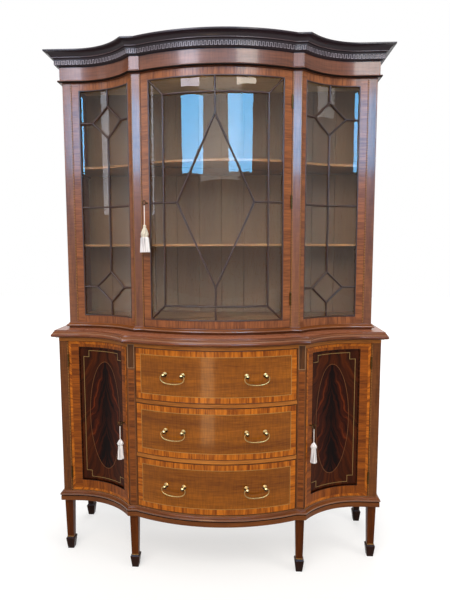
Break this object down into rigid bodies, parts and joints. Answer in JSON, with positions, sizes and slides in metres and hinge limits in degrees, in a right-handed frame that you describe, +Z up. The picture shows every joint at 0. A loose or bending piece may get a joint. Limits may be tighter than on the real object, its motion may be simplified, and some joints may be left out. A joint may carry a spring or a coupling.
{
  "type": "display cabinet",
  "caption": "Serpentine-fronted display cabinet: a glazed upper case with shelves on a lower case of bowed drawers between hollow-fronted cupboards, on tapered legs with spade feet.",
  "frame": {"origin": "on the floor under the middle of the cabinet's overall box", "axes": "+Z up, the front faces -Y, +X to the right seen from the front"},
  "size_m": [1.454, 0.556, 2.1985],
  "materials": {
    "polished_mahogany": "french polished",
    "dark_mahogany": "french polished",
    "crossbanded_mahogany": "french polished veneer with a crossbanded border",
    "drawer_lining_oak": "dry oak",
    "stained_pine": "thin dark stain",
    "antique_brass": "aged",
    "cream_silk": "twisted thread",
    "window_glass": "clear"
  },
  "bodies": {
    "cabinet": {"back_post_left": "polished_mahogany", "back_post_right": "polished_mahogany", "base_moulding": "polished_mahogany", "cornice": "dark_mahogany", "cornice_fret": "dark_mahogany", "display_shelf_lower": "polished_mahogany", "display_shelf_upper": "polished_mahogany", "drawer_rail_lower": "polished_mahogany", "drawer_rail_upper": "polished_mahogany", "frieze": "polished_mahogany", "inner_pilaster_left": "polished_mahogany", "inner_pilaster_right": "polished_mahogany", "inner_post_left": "polished_mahogany", "inner_post_right": "polished_mahogany", "lower_back": "stained_pine", "lower_floor": "drawer_lining_oak", "lower_side_left": "polished_mahogany", "lower_side_right": "polished_mahogany", "outer_pilaster_left": "polished_mahogany", "outer_pilaster_right": "polished_mahogany", "outer_post_left": "polished_mahogany", "outer_post_right": "polished_mahogany", "partition_left": "drawer_lining_oak", "partition_right": "drawer_lining_oak", "side_frame_left": "polished_mahogany", "side_frame_right": "polished_mahogany", "side_glass_left": "window_glass", "side_glass_right": "window_glass", "surbase_top": "polished_mahogany", "top_rail": "polished_mahogany", "upper_back": "stained_pine", "upper_base_moulding": "polished_mahogany", "upper_floor": "polished_mahogany", "upper_side_left": "polished_mahogany", "upper_side_right": "polished_mahogany", "upper_top": "stained_pine"},
    "glazed_door": {"glazed_door_frame": "polished_mahogany", "glazed_door_glass": "window_glass", "glazed_door_tassel": "cream_silk"},
    "cupboard_door_left": {"cupboard_door_frame_left": "polished_mahogany", "cupboard_panel_left": "dark_mahogany", "cupboard_left_tassel": "cream_silk"},
    "cupboard_door_right": {"cupboard_door_frame_right": "polished_mahogany", "cupboard_panel_right": "dark_mahogany", "cupboard_right_tassel": "cream_silk"},
    "glazed_door_key": {"glazed_door_key": "antique_brass"},
    "cupboard_left_key": {"cupboard_left_key": "antique_brass"},
    "cupboard_right_key": {"cupboard_right_key": "antique_brass"},
    "drawer_top": {"drawer_front_top": "crossbanded_mahogany", "drawer_box_top": "drawer_lining_oak"},
    "bail_top_left": {"bail_top_left": "antique_brass"},
    "bail_top_right": {"bail_top_right": "antique_brass"},
    "drawer_middle": {"drawer_front_middle": "crossbanded_mahogany", "drawer_box_middle": "drawer_lining_oak"},
    "bail_middle_left": {"bail_middle_left": "antique_brass"},
    "bail_middle_right": {"bail_middle_right": "antique_brass"},
    "drawer_bottom": {"drawer_front_bottom": "crossbanded_mahogany", "drawer_box_bottom": "drawer_lining_oak"},
    "bail_bottom_left": {"bail_bottom_left": "antique_brass"},
    "bail_bottom_right": {"bail_bottom_right": "antique_brass"}
  },
  "joints": [
    {"name": "glazed_door_hinge", "type": "hinge", "parent": "cabinet", "child": "glazed_door", "pos_m": [0.30725, -0.1132, 1.5605], "axis": [0, 0, 1], "range_deg": [0, 100]},
    {"name": "cupboard_door_left_hinge", "type": "hinge", "parent": "cabinet", "child": "cupboard_door_left", "pos_m": [-0.65925, -0.0612, 0.6275], "axis": [0, 0, -1], "range_deg": [0, 95]},
    {"name": "cupboard_door_right_hinge", "type": "hinge", "parent": "cabinet", "child": "cupboard_door_right", "pos_m": [0.65925, -0.0612, 0.6275], "axis": [0, 0, 1], "range_deg": [0, 95]},
    {"name": "glazed_door_key_turn", "type": "hinge", "parent": "glazed_door", "child": "glazed_door_key", "pos_m": [-0.28466, -0.11832, 1.559], "axis": [-0.379, -0.9254, 0], "range_deg": [0, 180]},
    {"name": "cupboard_left_key_turn", "type": "hinge", "parent": "cupboard_door_left", "child": "cupboard_left_key", "pos_m": [-0.39075, -0.15792, 0.64], "axis": [-0.7332, -0.68, 0], "range_deg": [0, 180]},
    {"name": "cupboard_right_key_turn", "type": "hinge", "parent": "cupboard_door_right", "child": "cupboard_right_key", "pos_m": [0.39075, -0.15792, 0.64], "axis": [0.7332, -0.68, 0], "range_deg": [0, 180]},
    {"name": "drawer_top_slide", "type": "slide", "parent": "cabinet", "child": "drawer_top", "axis": [0, -1, 0], "range_m": [0, 0.3]},
    {"name": "bail_top_left_swing", "type": "hinge", "parent": "drawer_top", "child": "bail_top_left", "pos_m": [-0.16964, -0.25479, 0.86725], "axis": [-0.9789, 0.2041, 0], "range_deg": [0, 90]},
    {"name": "bail_top_right_swing", "type": "hinge", "parent": "drawer_top", "child": "bail_top_right", "pos_m": [0.16964, -0.25479, 0.86725], "axis": [-0.9789, -0.2041, 0], "range_deg": [0, 90]},
    {"name": "drawer_middle_slide", "type": "slide", "parent": "cabinet", "child": "drawer_middle", "axis": [0, -1, 0], "range_m": [0, 0.3]},
    {"name": "bail_middle_left_swing", "type": "hinge", "parent": "drawer_middle", "child": "bail_middle_left", "pos_m": [-0.16964, -0.25479, 0.63375], "axis": [-0.9789, 0.2041, 0], "range_deg": [0, 90]},
    {"name": "bail_middle_right_swing", "type": "hinge", "parent": "drawer_middle", "child": "bail_middle_right", "pos_m": [0.16964, -0.25479, 0.63375], "axis": [-0.9789, -0.2041, 0], "range_deg": [0, 90]},
    {"name": "drawer_bottom_slide", "type": "slide", "parent": "cabinet", "child": "drawer_bottom", "axis": [0, -1, 0], "range_m": [0, 0.3]},
    {"name": "bail_bottom_left_swing", "type": "hinge", "parent": "drawer_bottom", "child": "bail_bottom_left", "pos_m": [-0.16964, -0.25479, 0.4], "axis": [-0.9789, 0.2041, 0], "range_deg": [0, 90]},
    {"name": "bail_bottom_right_swing", "type": "hinge", "parent": "drawer_bottom", "child": "bail_bottom_right", "pos_m": [0.16964, -0.25479, 0.4], "axis": [-0.9789, -0.2041, 0], "range_deg": [0, 90]}
  ]
}
